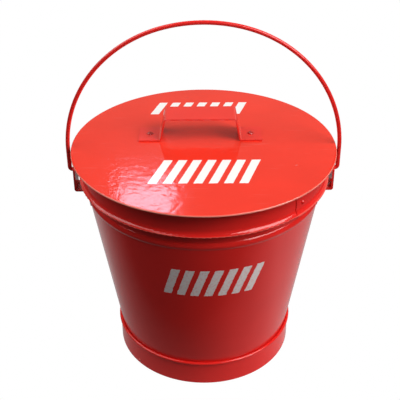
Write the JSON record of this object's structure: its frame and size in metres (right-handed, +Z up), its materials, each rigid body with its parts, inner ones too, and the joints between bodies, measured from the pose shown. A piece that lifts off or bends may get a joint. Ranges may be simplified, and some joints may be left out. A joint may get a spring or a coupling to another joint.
{
  "type": "fire bucket",
  "caption": "Tapered red steel fire bucket with a slip-over lid, strap lid handle and swinging wire bail on stand-off ears.",
  "frame": {"origin": "middle of the foot ring's underside, which is the bottom centre of the whole box", "axes": "+Z up; +X along the bail's pivots, towards the right ear; -Y towards the front, the side that faces the viewer"},
  "size_m": [0.3314, 0.3176, 0.4359],
  "materials": {
    "red_enamel_sheet": "gloss",
    "red_enamel_strap": "gloss",
    "red_enamel_wire": "gloss",
    "red_enamel_rivet": "gloss",
    "rim_steel": "plain"
  },
  "bodies": {
    "bucket": {"bucket_body": "red_enamel_sheet", "rim_wire": "rim_steel", "bottom_plate": "red_enamel_sheet", "foot_ring": "red_enamel_sheet", "left_ear": "red_enamel_strap", "right_ear": "red_enamel_strap", "left_ear_rivets": "red_enamel_rivet", "right_ear_rivets": "red_enamel_rivet"},
    "bail": {"bail": "red_enamel_wire"},
    "lid": {"lid_disc": "red_enamel_sheet", "lid_skirt": "red_enamel_sheet", "skirt_seam_rivets": "red_enamel_rivet", "lid_handle": "red_enamel_strap", "left_handle_rivet": "red_enamel_rivet", "right_handle_rivet": "red_enamel_rivet"}
  },
  "joints": [
    {"name": "bail_swing", "type": "hinge", "parent": "bucket", "child": "bail", "pos_m": [0, 0, 0.2482], "axis": [1, 0, 0], "range_deg": [-118, 118]},
    {"name": "lid_lift", "type": "slide", "parent": "bucket", "child": "lid", "axis": [0, 0, 1], "range_m": [0, 0.0065]}
  ]
}
